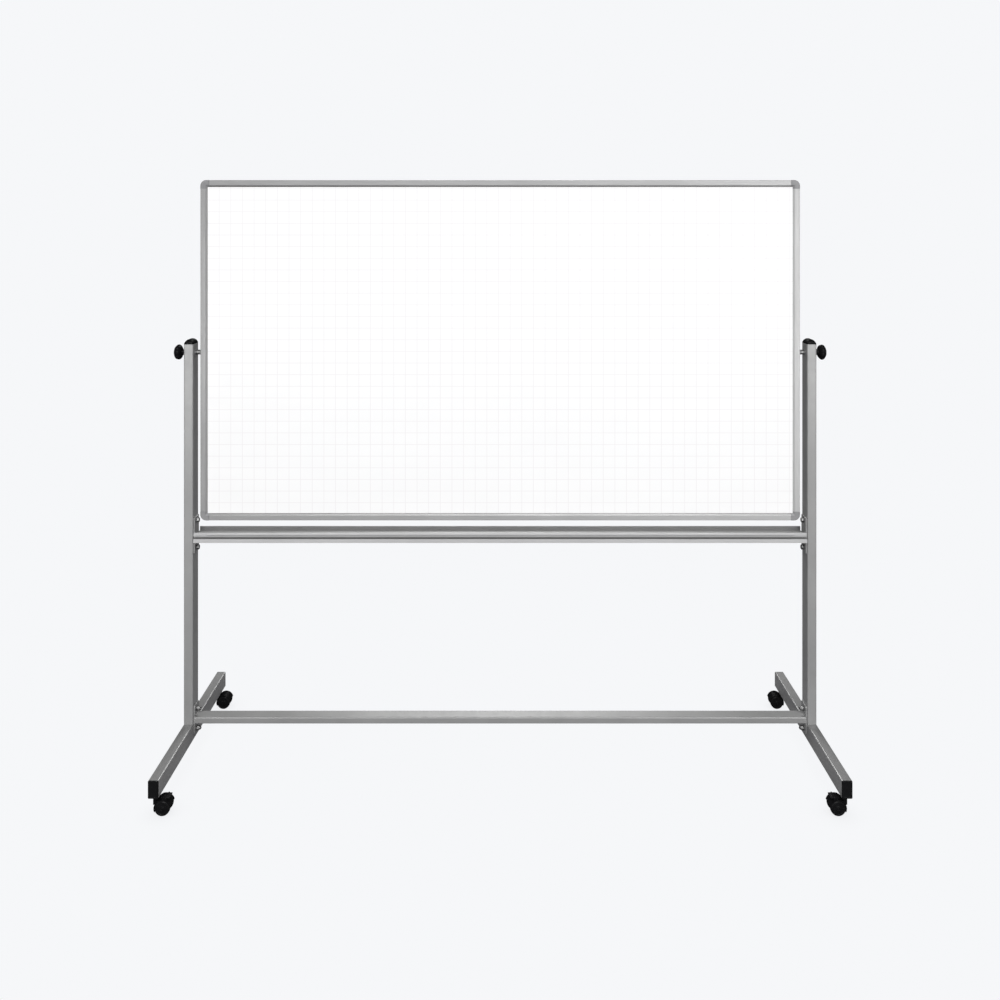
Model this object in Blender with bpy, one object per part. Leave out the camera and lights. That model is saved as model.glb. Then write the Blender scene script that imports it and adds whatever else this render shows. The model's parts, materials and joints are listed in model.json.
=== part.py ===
"""Rolling reversible whiteboard.

A double-sided board turns over between two posts, which stand on two feet with four twin-wheel
casters. A crossbar and a marker tray join the posts. Two clamp knobs hold the board.

Units are metres. +X runs along the board, +Y runs from front to back and +Z is up. The origin is
on the floor, under the middle of the board.
"""

import math

import bmesh
import bpy
from mathutils import Vector

GAP = 0.0003

# Board
BOARD_WIDTH = 1.829
BOARD_HEIGHT = 1.038
BOARD_RISE = 0.007
PIVOT_Z = 1.231
FRAME_HALF_DEPTH = 0.011
FRAME_FACE = 0.0150
FRAME_LIP = 0.0206
LIP_TOP = 0.0072
CORE_HALF_DEPTH = 0.0055
CORE_INSET = 0.014
SHEET_THICKNESS = 0.0005
CORNER_SIZE = 0.026
CORNER_RADIUS = 0.018
CORNER_PROUD = 0.0004
CAVITY_START = 0.0023
CAVITY_END = 0.0127

# Stand
POST_X = 0.9465
POST_WIDTH = 0.028
INNER_FACE = POST_X - POST_WIDTH / 2
POST_DEPTH = 0.050
POST_TOP = 1.2575
TUBE_WALL = 0.0015
TUBE_CORNER = 0.003
FOOT_WIDTH = 0.029
FOOT_X = INNER_FACE + FOOT_WIDTH / 2
FOOT_BOTTOM = 0.054
FOOT_TOP = 0.103
FOOT_HALF_LENGTH = 0.300
CAP_PLATE = 0.003
CAP_DOME = 0.014
CAP_RIM = 0.0012
CAP_INSET = 0.0125
CAP_PLUG = 0.020

# Crossbar and marker tray, with the flanges that bolt them to the posts and feet
BAR_DEPTH = 0.040
BAR_HEIGHT = 0.020
BAR_Z = 0.1133
FLANGE_THICKNESS = 0.0032
FLANGE_HALF_DEPTH = 0.020
BAR_FLANGE_Z = (0.068, 0.157)
BAR_BOLT_Z = (0.081, 0.141)
TRAY_TOP = 0.688
TRAY_HALF_DEPTH = 0.0335
TRAY_FLOOR = 0.012
TRAY_HEIGHT = 0.030
BEAD_HEIGHT = 0.0076
BEAD_CUT_X = 0.889
TRAY_FLANGE_Z = (0.622, 0.729)
TRAY_BOLT_Z = (0.634, 0.717)
TONGUE_START_X = 0.893
TONGUE_THICKNESS = 0.003

# Pivots, clamp knobs and bolts
STUD_RADIUS = 0.004
BORE_RADIUS = 0.0043
BUSH_RADIUS = 0.0068
KNOB_RADIUS = 0.0240
KNOB_LOBES = 7
KNOB_LOBE_DEPTH = 0.0017
KNOB_HUB_RADIUS = 0.0088
KNOB_MIDDLE = 0.0235
KNOB_HALF_THICKNESS = 0.0128
BOLT_SHANK = 0.003
BOLT_HOLE = 0.0033
WASHER_RADIUS = 0.008
WASHER_THICKNESS = 0.0016
BOLT_HEAD_HALF_WIDTH = 0.0065
BOLT_HEAD_HEIGHT = 0.0060
DOME_NUT_HEIGHT = 0.0125

# Casters
CASTER_Y = 0.272
WHEEL_RADIUS = 0.021
TRAIL = 0.0205
AXLE_DROP = FOOT_BOTTOM - WHEEL_RADIUS
WHEEL_INNER = 0.0060
WHEEL_OUTER = 0.0200
AXLE_RADIUS = 0.003
HOOD_RADIUS = 0.0234
HOOD_THICKNESS = 0.0016
HOOD_HALF_WIDTH = 0.0175
HOOD_START = math.radians(15)
HOOD_END = math.radians(205)
WEB_HALF_WIDTH = 0.0055
STEM_RADIUS = 0.0048
STEM_BORE = 0.0053
STEM_LENGTH = 0.030
PEDAL_PIVOT_RADIUS = 0.0260
PEDAL_PIVOT_ANGLE = math.radians(71)
PEDAL_HALF_WIDTH = 0.0120

SIDES = {"left": -1, "right": 1}
ENDS = {"front": -1, "rear": 1}


def clear_scene():
    for thing in list(bpy.data.objects):
        bpy.data.objects.remove(thing, do_unlink=True)


def make_material(name, colour, roughness, metallic=0.0):
    material = bpy.data.materials.new(name)
    material.use_nodes = True
    shader = material.node_tree.nodes["Principled BSDF"]
    shader.inputs["Base Color"].default_value = (*colour, 1.0)
    shader.inputs["Roughness"].default_value = roughness
    shader.inputs["Metallic"].default_value = metallic
    return material


def make_materials():
    return {
        "aluminium": make_material("satin_aluminium", (0.46, 0.46, 0.46), 0.38, 1.0),
        "grey_plastic": make_material("grey_plastic", (0.27, 0.27, 0.28), 0.5),
        "white_steel": make_material("white_writing_steel", (0.93, 0.93, 0.93), 0.15),
        "fibreboard": make_material("fibreboard", (0.42, 0.30, 0.19), 0.8),
        "painted_steel": make_material("silver_painted_steel", (0.34, 0.34, 0.34), 0.42, 0.6),
        "zinc": make_material("zinc_plated_steel", (0.52, 0.52, 0.50), 0.32, 1.0),
        "black_plastic": make_material("black_plastic", (0.012, 0.012, 0.013), 0.42),
    }


def circle(radius, segments, centre=(0.0, 0.0)):
    turns = [2 * math.pi * step / segments for step in range(segments)]
    return [(centre[0] + radius * math.cos(turn), centre[1] + radius * math.sin(turn)) for turn in turns]


def arc(centre, radius, start, end, steps):
    angles = [start + (end - start) * step / steps for step in range(steps + 1)]
    return [(centre[0] + radius * math.cos(angle), centre[1] + radius * math.sin(angle)) for angle in angles]


def rectangle(width, height, centre=(0.0, 0.0)):
    signs = ((-1, -1), (1, -1), (1, 1), (-1, 1))
    return [(centre[0] + u * width / 2, centre[1] + v * height / 2) for u, v in signs]


def rounded_rectangle(width, height, radius, steps=2):
    outline = []
    for quarter, (u, v) in enumerate(((1, 1), (-1, 1), (-1, -1), (1, -1))):
        centre = (u * (width / 2 - radius), v * (height / 2 - radius))
        start = quarter * math.pi / 2
        outline += arc(centre, radius, start, start + math.pi / 2, steps)
    return outline


def hexagon(half_width, segments):
    """A hexagon across flats of twice half_width, with its sides split to give as many points as a circle."""
    outline = []
    for u, v in circle(1.0, segments):
        turn = math.atan2(v, u)
        off_flat = (turn % (math.pi / 3)) - math.pi / 6
        reach = half_width / math.cos(off_flat)
        outline.append((reach * math.cos(turn), reach * math.sin(turn)))
    return outline


def lobed_circle(radius, lobe_depth, segments):
    outline = []
    for u, v in circle(1.0, segments):
        wave = (1 + math.cos(KNOB_LOBES * math.atan2(v, u))) / 2
        reach = radius - lobe_depth * (1 - wave)
        outline.append((reach * u, reach * v))
    return outline


def ring(outline, axis, along):
    """An outline placed across an axis: X takes (y, z), Y takes (x, z) and Z takes (x, y)."""
    if axis == "X":
        return [Vector((along, u, v)) for u, v in outline]
    if axis == "Y":
        return [Vector((u, along, v)) for u, v in outline]
    return [Vector((u, v, along)) for u, v in outline]


def loft(bm, rings, closed=False):
    """Skins rings with equally many points, capping both ends unless the last ring joins the first."""
    loops = [[bm.verts.new(point) for point in points] for points in rings]
    pairs = list(zip(loops, loops[1:]))
    if closed:
        pairs.append((loops[-1], loops[0]))
    else:
        bm.faces.new(loops[0])
        bm.faces.new(loops[-1])
    for first, second in pairs:
        for here in range(len(first)):
            there = (here + 1) % len(first)
            bm.faces.new((first[here], first[there], second[there], second[here]))


def prism(bm, outline, axis, start, end):
    loft(bm, [ring(outline, axis, start), ring(outline, axis, end)])


def tube(bm, outer, inner, axis, start, end):
    ends = ((outer, start), (outer, end), (inner, end), (inner, start))
    loft(bm, [ring(outline, axis, along) for outline, along in ends], closed=True)


def turned(bm, profile, axis, segments, centre=(0.0, 0.0), closed=False):
    """Turns a profile of (radius, distance along the axis) points."""
    loft(bm, [ring(circle(radius, segments, centre), axis, along) for radius, along in profile], closed)


def box(bm, low, high):
    middle = ((low[0] + high[0]) / 2, (low[1] + high[1]) / 2)
    outline = rectangle(high[0] - low[0], high[1] - low[1], middle)
    prism(bm, outline, "Z", low[2], high[2])


def add_object(name, bm, material, location=(0.0, 0.0, 0.0), parent=None):
    bmesh.ops.recalc_face_normals(bm, faces=bm.faces)
    mesh = bpy.data.meshes.new(name)
    bm.to_mesh(mesh)
    bm.free()
    mesh.materials.append(material)
    mesh.shade_smooth()
    mesh.set_sharp_from_angle(angle=math.radians(32))
    thing = bpy.data.objects.new(name, mesh)
    thing.location = location
    thing.parent = parent
    bpy.context.collection.objects.link(thing)
    return thing


def add_empty(name, location, parent=None):
    empty = bpy.data.objects.new(name, None)
    empty.empty_display_size = 0.05
    empty.location = location
    empty.parent = parent
    bpy.context.collection.objects.link(empty)
    return empty


def combine(target, bm, operation):
    """Cuts a shape from the target, or adds it, with a Boolean whose operand stays hidden in the target."""
    name = f"{target.name}_{operation.lower()}_{len(target.modifiers)}"
    operand = add_object(name, bm, target.data.materials[0], parent=target)
    operand.hide_render = True
    operand.display_type = "WIRE"
    modifier = target.modifiers.new(name, "BOOLEAN")
    modifier.operation = operation
    modifier.solver = "EXACT"
    modifier.object = operand


def face_side(thing, side):
    """Shapes are drawn for the right-hand side, and the left-hand copy is turned half round."""
    if side < 0:
        thing.rotation_euler.z = math.pi


def rail_section():
    """Half of the rail's section is drawn as (inward, depth) points, and the other half mirrors it."""
    half = [
        (CAVITY_START - GAP, FRAME_HALF_DEPTH - 0.0015),
        (CAVITY_END + GAP, FRAME_HALF_DEPTH - 0.0015),
        (CAVITY_END + GAP, CORE_HALF_DEPTH + GAP),
        (FRAME_LIP, CORE_HALF_DEPTH + GAP),
        (FRAME_LIP, LIP_TOP),
        (FRAME_FACE, FRAME_HALF_DEPTH),
        (0.001, FRAME_HALF_DEPTH),
        (0.0, FRAME_HALF_DEPTH - 0.001),
    ]
    return half + [(inward, -depth) for inward, depth in reversed(half)]


def add_rail(name, length, outer_edge, angle, board, material):
    outline = [(depth, outer_edge - inward) for inward, depth in rail_section()]
    bm = bmesh.new()
    prism(bm, outline, "X", -length / 2, length / 2)
    rail = add_object(name, bm, material, (0, 0, BOARD_RISE), board)
    rail.rotation_euler.y = angle
    return rail


def add_frame_rails(board, material):
    trim = 2 * (CORNER_SIZE + GAP)
    half_width = BOARD_WIDTH / 2
    half_height = BOARD_HEIGHT / 2
    add_rail("frame_rail_top", BOARD_WIDTH - trim, half_height, 0.0, board, material)
    add_rail("frame_rail_bottom", BOARD_WIDTH - trim, half_height, math.pi, board, material)
    for word, side in SIDES.items():
        angle = side * math.pi / 2
        rail = add_rail(f"frame_rail_{word}", BOARD_HEIGHT - trim, half_width, angle, board, material)
        hole = bmesh.new()
        profile = [(BORE_RADIUS + 0.0004, half_width - 0.004), (BORE_RADIUS + 0.0004, half_width + 0.002)]
        turned(hole, profile, "Z", 16, centre=(side * BOARD_RISE, 0))
        combine(rail, hole, "DIFFERENCE")


def add_corner_cap(name, location, angle, board, material):
    """A corner moulding, drawn for the top right corner with its outer corner at the origin."""
    depth = FRAME_HALF_DEPTH + CORNER_PROUD
    size = CORNER_SIZE
    middle = CORNER_PROUD - CORNER_RADIUS
    rounded = arc((middle, middle), CORNER_RADIUS, 0, math.pi / 2, 6)
    outline = [(-size, -size), (CORNER_PROUD, -size), *rounded, (-size, CORNER_PROUD)]
    shrink = 1 - 0.001 / size
    inset = [((u + size) * shrink - size, (v + size) * shrink - size) for u, v in outline]
    bm = bmesh.new()
    loft(bm, [
        ring(inset, "Y", -depth),
        ring(outline, "Y", 0.001 - depth),
        ring(outline, "Y", depth - 0.001),
        ring(inset, "Y", depth),
    ])
    cap = add_object(name, bm, material, location, board)
    cap.rotation_euler.y = angle

    cavity = bmesh.new()
    core_room = CORE_HALF_DEPTH + GAP
    box(cavity, (-0.04, -core_room, -0.04), (-CAVITY_END, core_room, -CAVITY_END))
    combine(cap, cavity, "DIFFERENCE")

    notch = bmesh.new()
    slope = (FRAME_LIP - FRAME_FACE) / (FRAME_HALF_DEPTH - LIP_TOP)
    cut_depth = depth + 0.001
    levels = (-cut_depth, -LIP_TOP, LIP_TOP, cut_depth)
    corners = [FRAME_LIP - slope * (abs(level) - LIP_TOP) for level in levels]
    squares = [[(-0.05, -0.05), (-edge, -0.05), (-edge, -edge), (-0.05, -edge)] for edge in corners]
    loft(notch, [ring(square, "Y", level) for square, level in zip(squares, levels)])
    combine(cap, notch, "DIFFERENCE")

    tongues = bmesh.new()
    tongue_depth = FRAME_HALF_DEPTH - 0.0018
    box(tongues, (-0.042, -tongue_depth, -CAVITY_END), (-0.020, tongue_depth, -CAVITY_START))
    box(tongues, (-CAVITY_END, -tongue_depth, -0.042), (-CAVITY_START, tongue_depth, -0.020))
    combine(cap, tongues, "UNION")


def add_corner_caps(board, material):
    corners = {"top_right": (1, 1), "bottom_right": (1, -1), "bottom_left": (-1, -1), "top_left": (-1, 1)}
    for quarter, (word, (across, up)) in enumerate(corners.items()):
        location = (across * BOARD_WIDTH / 2, 0, BOARD_RISE + up * BOARD_HEIGHT / 2)
        add_corner_cap(f"corner_cap_{word}", location, quarter * math.pi / 2, board, material)


def add_writing_sheets(board, material):
    half_width = BOARD_WIDTH / 2 - FRAME_LIP - GAP
    half_height = BOARD_HEIGHT / 2 - FRAME_LIP - GAP
    for word, end in ENDS.items():
        inner = end * (CORE_HALF_DEPTH + GAP)
        outer = inner + end * SHEET_THICKNESS
        low = (-half_width, min(inner, outer), -half_height)
        high = (half_width, max(inner, outer), half_height)
        bm = bmesh.new()
        box(bm, low, high)
        add_object(f"writing_sheet_{word}", bm, material, (0, 0, BOARD_RISE), board)


def add_board_core(board, material):
    half_width = BOARD_WIDTH / 2 - CORE_INSET
    half_height = BOARD_HEIGHT / 2 - CORE_INSET
    bm = bmesh.new()
    box(bm, (-half_width, -CORE_HALF_DEPTH, -half_height), (half_width, CORE_HALF_DEPTH, half_height))
    add_object("board_core", bm, material, (0, 0, BOARD_RISE), board)


def add_ring(name, profile, material, parent, side, segments=16):
    """A turned piece with a bore, on the board's axis. The profile runs along X on the right-hand side."""
    bm = bmesh.new()
    turned(bm, profile, "X", segments, closed=True)
    piece = add_object(name, bm, material, parent=parent)
    face_side(piece, side)
    return piece


def add_pivot_hardware(board, axis, materials):
    edge = BOARD_WIDTH / 2
    post_inner = INNER_FACE
    post_outer = POST_X + POST_WIDTH / 2
    flange_end = post_inner - GAP
    flange_start = flange_end - 0.0012
    sleeve = (edge + GAP, flange_start - GAP)
    nut = (edge - CAVITY_END, edge - CAVITY_START)
    for word, side in SIDES.items():
        add_ring(f"pivot_nut_{word}", [
            (BORE_RADIUS, nut[0]), (0.009, nut[0]), (0.009, nut[1]), (BORE_RADIUS, nut[1]),
        ], materials["zinc"], board, side)
        add_ring(f"pivot_sleeve_{word}", [
            (BORE_RADIUS, sleeve[0]), (0.008, sleeve[0]), (0.008, sleeve[1]), (BORE_RADIUS, sleeve[1]),
        ], materials["zinc"], board, side, 20)
        add_ring(f"pivot_bush_{word}", [
            (BORE_RADIUS, flange_start), (0.010, flange_start), (0.010, flange_end),
            (BUSH_RADIUS, flange_end), (BUSH_RADIUS, post_outer), (BORE_RADIUS, post_outer),
        ], materials["grey_plastic"], axis, side)


def add_clamp_knob(word, side, axis, material):
    """A knob with a moulded-in stud, a slim hub towards the post and a rounded, lobed grip."""
    face = POST_X + POST_WIDTH / 2
    stud_start = BOARD_WIDTH / 2 - CAVITY_END - 0.0008
    segments = 4 * KNOB_LOBES
    rings = [
        ring(circle(STUD_RADIUS - 0.0008, segments), "X", stud_start),
        ring(circle(STUD_RADIUS, segments), "X", stud_start + 0.0008),
        ring(circle(STUD_RADIUS, segments), "X", face + GAP),
        ring(circle(KNOB_HUB_RADIUS, segments), "X", face + GAP),
        ring(circle(KNOB_HUB_RADIUS, segments), "X", face + KNOB_MIDDLE - 0.9 * KNOB_HALF_THICKNESS),
    ]
    for degrees in (-58, -42, -22, 0, 22, 42, 60, 76):
        lean = math.radians(degrees)
        radius = KNOB_RADIUS * math.cos(lean)
        out = KNOB_MIDDLE + KNOB_HALF_THICKNESS * math.sin(lean)
        lobe_depth = KNOB_LOBE_DEPTH * math.cos(lean) ** 3
        rings.append(ring(lobed_circle(radius, lobe_depth, segments), "X", face + out))
    bm = bmesh.new()
    loft(bm, rings)
    knob = add_object(f"clamp_knob_{word}", bm, material, parent=axis)
    face_side(knob, side)


def tube_outlines(width, height):
    outer = rounded_rectangle(width, height, TUBE_CORNER)
    inner = rounded_rectangle(width - 2 * TUBE_WALL, height - 2 * TUBE_WALL, TUBE_CORNER - TUBE_WALL)
    return outer, inner


def plug_outline(width, height):
    clearance = 2 * (TUBE_WALL + GAP)
    return rounded_rectangle(width - clearance, height - clearance, TUBE_CORNER - TUBE_WALL)


def bolt_holes(heights, width):
    """Cutters through the inner wall of a right-hand tube that is centred on x = 0."""
    bm = bmesh.new()
    for height in heights:
        profile = [(BOLT_HOLE, -width / 2 - 0.006), (BOLT_HOLE, -width / 2 + 0.006)]
        turned(bm, profile, "X", 12, centre=(0, height))
    return bm


def add_post(word, side, material):
    bottom = FOOT_TOP + GAP
    outer, inner = tube_outlines(POST_WIDTH, POST_DEPTH)
    bm = bmesh.new()
    tube(bm, outer, inner, "Z", bottom, POST_TOP)
    post = add_object(f"post_{word}", bm, material, (side * POST_X, 0, 0))
    face_side(post, side)
    combine(post, bolt_holes((BAR_BOLT_Z[1], *TRAY_BOLT_Z), POST_WIDTH), "DIFFERENCE")
    pivot = bmesh.new()
    turned(pivot, [(BUSH_RADIUS + GAP, -0.02), (BUSH_RADIUS + GAP, 0.02)], "X", 16, centre=(0, PIVOT_Z))
    combine(post, pivot, "DIFFERENCE")


def add_post_cap(word, side, material):
    """A cap with a plug that sits in the top of the post, a short rim and a crowned top."""
    plug = plug_outline(POST_WIDTH, POST_DEPTH)
    base = POST_TOP + GAP
    rings = [ring(plug, "Z", POST_TOP - CAP_PLUG + 0.006), ring(plug, "Z", base)]
    rings.append(ring(rounded_rectangle(POST_WIDTH, POST_DEPTH, TUBE_CORNER), "Z", base))
    crown_start = math.radians(30)
    for step in range(6):
        lean = crown_start + (math.radians(84) - crown_start) * step / 5
        rise = (math.sin(lean) - math.sin(crown_start)) / (1 - math.sin(crown_start))
        shrink = 2 * CAP_INSET * (1 - math.cos(lean) / math.cos(crown_start))
        outline = rounded_rectangle(POST_WIDTH - shrink, POST_DEPTH - shrink, TUBE_CORNER)
        rings.append(ring(outline, "Z", base + CAP_RIM + (CAP_DOME - CAP_RIM) * rise))
    bm = bmesh.new()
    loft(bm, rings)
    add_object(f"post_cap_{word}", bm, material, (side * POST_X, 0, 0))


def foot_centre():
    return (FOOT_BOTTOM + FOOT_TOP) / 2


def stem_holes():
    """Cutters through the underside of a foot that is centred on z = 0."""
    bm = bmesh.new()
    bottom = FOOT_BOTTOM - foot_centre()
    for end in ENDS.values():
        profile = [(STEM_BORE, bottom - 0.004), (STEM_BORE, bottom + 0.006)]
        turned(bm, profile, "Z", 12, centre=(0, end * CASTER_Y))
    return bm


def add_foot(word, side, material):
    outer, inner = tube_outlines(FOOT_WIDTH, FOOT_TOP - FOOT_BOTTOM)
    half_length = FOOT_HALF_LENGTH - CAP_PLATE - GAP
    bm = bmesh.new()
    tube(bm, outer, inner, "Y", -half_length, half_length)
    foot = add_object(f"foot_{word}", bm, material, (side * FOOT_X, 0, foot_centre()))
    face_side(foot, side)
    combine(foot, stem_holes(), "DIFFERENCE")
    combine(foot, bolt_holes((BAR_BOLT_Z[0] - foot_centre(),), FOOT_WIDTH), "DIFFERENCE")


def add_foot_cap(end_word, end, word, side, material):
    """An end cap with rounded edges and a long plug, which holds the caster's stem."""
    height = FOOT_TOP - FOOT_BOTTOM
    plug = plug_outline(FOOT_WIDTH, height)
    plate_back = FOOT_HALF_LENGTH - CAP_PLATE
    rings = [ring(plug, "Y", end * 0.256), ring(plug, "Y", end * plate_back)]
    for inset, drop in ((0.0, CAP_PLATE), (0.0, 0.0020), (0.0006, 0.0006), (0.0020, 0.0)):
        plate = rounded_rectangle(FOOT_WIDTH - 2 * inset, height - 2 * inset, TUBE_CORNER - inset)
        rings.append(ring(plate, "Y", end * (FOOT_HALF_LENGTH - drop)))
    bm = bmesh.new()
    loft(bm, rings)
    cap = add_object(f"foot_cap_{end_word}_{word}", bm, material, (side * FOOT_X, 0, foot_centre()))
    bore = bmesh.new()
    turned(bore, [(STEM_BORE, -0.03), (STEM_BORE, 0.03)], "Z", 12, centre=(0, end * CASTER_Y))
    combine(cap, bore, "DIFFERENCE")


def flange_faces():
    outer = INNER_FACE - GAP
    return outer - FLANGE_THICKNESS, outer


def flange_holes(heights, side=1):
    inner, outer = flange_faces()
    bm = bmesh.new()
    for height in heights:
        profile = [(BOLT_HOLE, side * (inner - 0.004)), (BOLT_HOLE, side * (outer + 0.004))]
        turned(bm, profile, "X", 12, centre=(0, height))
    return bm


def add_crossbar(material):
    """A tube with a flange welded on each end. A vent hole in each flange opens the tube."""
    outer, inner = tube_outlines(BAR_DEPTH, BAR_HEIGHT)
    flange_inner, flange_outer = flange_faces()
    half_length = flange_inner + 0.001
    bm = bmesh.new()
    tube(bm, outer, inner, "X", -half_length, half_length)
    crossbar = add_object("crossbar", bm, material, (0, 0, BAR_Z))

    low, high = BAR_FLANGE_Z
    rise = (low + high) / 2 - BAR_Z
    outline = rounded_rectangle(2 * FLANGE_HALF_DEPTH, high - low, 0.006, 3)
    flanges = bmesh.new()
    for side in SIDES.values():
        plate = [(depth, height + rise) for depth, height in outline]
        prism(flanges, plate, "X", side * flange_inner, side * flange_outer)
    combine(crossbar, flanges, "UNION")

    for side in SIDES.values():
        heights = (BAR_BOLT_Z[0] - BAR_Z, 0.0, BAR_BOLT_Z[1] - BAR_Z)
        combine(crossbar, flange_holes(heights, side), "DIFFERENCE")


def tray_section():
    """Half of the tray's section is drawn as (depth, height) points, and the other half mirrors it.

    Below its rolled bead the wall slants in to a ledge, and a skirt hangs from the ledge."""
    wall_inner = TRAY_HALF_DEPTH - 0.005
    skirt_top = TRAY_TOP - 0.0186
    bead_bottom = TRAY_TOP - BEAD_HEIGHT
    bottom = TRAY_TOP - TRAY_HEIGHT
    half = [
        (wall_inner, TRAY_TOP - TRAY_FLOOR),
        (wall_inner, TRAY_TOP - 0.0008),
        (wall_inner + 0.0008, TRAY_TOP),
        (TRAY_HALF_DEPTH - 0.0018, TRAY_TOP),
        (TRAY_HALF_DEPTH - 0.0004, TRAY_TOP - 0.0008),
        (TRAY_HALF_DEPTH, TRAY_TOP - 0.0024),
        (TRAY_HALF_DEPTH, bead_bottom + 0.0010),
        (TRAY_HALF_DEPTH - 0.0010, bead_bottom),
        (TRAY_HALF_DEPTH - 0.0029, bead_bottom),
        (TRAY_HALF_DEPTH - 0.0038, TRAY_TOP - TRAY_FLOOR - 0.0008),
        (TRAY_HALF_DEPTH - 0.0085, skirt_top),
        (TRAY_HALF_DEPTH - 0.0006, skirt_top),
        (TRAY_HALF_DEPTH, skirt_top - 0.0006),
        (TRAY_HALF_DEPTH, bottom),
        (TRAY_HALF_DEPTH - 0.002, bottom),
        (TRAY_HALF_DEPTH - 0.002, skirt_top - 0.002),
        (TRAY_HALF_DEPTH - 0.0110, skirt_top - 0.002),
        (TRAY_HALF_DEPTH - 0.0065, TRAY_TOP - TRAY_FLOOR - 0.002),
    ]
    return half + [(-depth, height) for depth, height in reversed(half)]


def add_marker_tray(material):
    """An extrusion that fills the space between the flanges. Its front bead is cut back at both ends."""
    half_length = flange_faces()[0] - GAP
    bm = bmesh.new()
    prism(bm, tray_section(), "X", -half_length, half_length)
    tray = add_object("marker_tray", bm, material)
    bead_inner = TRAY_HALF_DEPTH - 0.0029
    bead_bottom = TRAY_TOP - BEAD_HEIGHT - 0.0002
    notches = bmesh.new()
    for side in SIDES.values():
        x_values = sorted((side * BEAD_CUT_X, side * (half_length + 0.01)))
        low = (x_values[0], -TRAY_HALF_DEPTH - 0.01, bead_bottom)
        box(notches, low, (x_values[1], -bead_inner, TRAY_TOP + 0.01))
    combine(tray, notches, "DIFFERENCE")


def add_tray_bracket(word, side, material):
    """A bolted flange with a tongue that carries the tray's floor."""
    inner, outer = flange_faces()
    low, high = TRAY_FLANGE_Z
    tongue_top = TRAY_TOP - TRAY_FLOOR - 0.002 - GAP
    tongue_bottom = tongue_top - TONGUE_THICKNESS
    outline = [
        (outer, low), (outer, high), (inner, high), (inner, tongue_top),
        (TONGUE_START_X, tongue_top), (TONGUE_START_X, tongue_bottom), (inner, tongue_bottom), (inner, low),
    ]
    bm = bmesh.new()
    prism(bm, outline, "Y", -FLANGE_HALF_DEPTH, FLANGE_HALF_DEPTH)
    bracket = add_object(f"tray_bracket_{word}", bm, material)
    face_side(bracket, side)
    combine(bracket, flange_holes(TRAY_BOLT_Z), "DIFFERENCE")


def bolt_head(washer_face, domed, segments):
    """Rings of (half width, distance) for a plain hexagon head, or for a taller nut with a domed end."""
    if not domed:
        end = washer_face - BOLT_HEAD_HEIGHT
        shape = ((BOLT_HEAD_HALF_WIDTH, end + 0.0008), (BOLT_HEAD_HALF_WIDTH - 0.0008, end))
        return [ring(hexagon(half_width, segments), "X", along) for half_width, along in shape]
    collar = washer_face - DOME_NUT_HEIGHT / 2
    dome = DOME_NUT_HEIGHT / 2
    rings = [ring(hexagon(BOLT_HEAD_HALF_WIDTH, segments), "X", collar)]
    for degrees in (0, 35, 65):
        lean = math.radians(degrees)
        radius = (BOLT_HEAD_HALF_WIDTH - 0.0008) * math.cos(lean)
        along = collar - 0.0003 - (dome - 0.0003) * math.sin(lean)
        rings.append(ring(circle(radius, segments), "X", along))
    return rings


def add_bolt(name, side, height, domed, material):
    """A fastener and its washer as one solid, pointing out through a flange into the post or foot."""
    segments = 12
    seat = flange_faces()[0] - GAP
    washer_face = seat - WASHER_THICKNESS
    shank = [
        ring(circle(BOLT_SHANK, segments), "X", seat + 0.014),
        ring(circle(BOLT_SHANK, segments), "X", seat),
        ring(circle(WASHER_RADIUS, segments), "X", seat),
        ring(circle(WASHER_RADIUS, segments), "X", washer_face),
        ring(hexagon(BOLT_HEAD_HALF_WIDTH, segments), "X", washer_face),
    ]
    bm = bmesh.new()
    loft(bm, shank + bolt_head(washer_face, domed, segments))
    piece = add_object(name, bm, material, (0, 0, height))
    face_side(piece, side)


def add_bolts(word, side, material):
    """Plain bolts beside the tray, where the board swings past, and domed nuts on the crossbar."""
    for owner, heights, domed in (("crossbar", BAR_BOLT_Z, True), ("tray", TRAY_BOLT_Z, False)):
        for level, height in zip(("lower", "upper"), heights):
            add_bolt(f"{owner}_bolt_{level}_{word}", side, height, domed, material)


def hood_shell(bm):
    """The hood wraps the tops of both wheels. The caster trails towards +X from its swivel axis."""
    axle = (TRAIL, -AXLE_DROP)
    outer = arc(axle, HOOD_RADIUS, HOOD_START, HOOD_END, 14)
    inner = arc(axle, HOOD_RADIUS - HOOD_THICKNESS, HOOD_END, HOOD_START, 14)
    prism(bm, outer + inner, "Y", -HOOD_HALF_WIDTH, HOOD_HALF_WIDTH)


def caster_web():
    """The plate between the wheels, which stops just short of the hood's two ends."""
    axle = (TRAIL, -AXLE_DROP)
    start = HOOD_START + math.radians(3)
    end = HOOD_END - math.radians(3)
    outline = arc(axle, HOOD_RADIUS - HOOD_THICKNESS / 2, start, end, 14)
    outline += arc(axle, 0.016, end, start + 2 * math.pi, 8)
    bm = bmesh.new()
    prism(bm, outline, "Y", -WEB_HALF_WIDTH, WEB_HALF_WIDTH)
    return bm


def caster_column():
    bm = bmesh.new()
    half_width = WEB_HALF_WIDTH - 0.0002
    box(bm, (-0.0083, -half_width, -0.0300), (0.0060, half_width, -0.0040))
    return bm


def caster_socket():
    bm = bmesh.new()
    turned(bm, [(0.0085, -0.0150), (0.0095, -0.0140), (0.0095, -0.0026), (0.0087, -0.0018)], "Z", 16)
    return bm


def pedal_pivot():
    x = TRAIL + PEDAL_PIVOT_RADIUS * math.cos(PEDAL_PIVOT_ANGLE)
    z = PEDAL_PIVOT_RADIUS * math.sin(PEDAL_PIVOT_ANGLE) - AXLE_DROP
    return x, z


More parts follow.
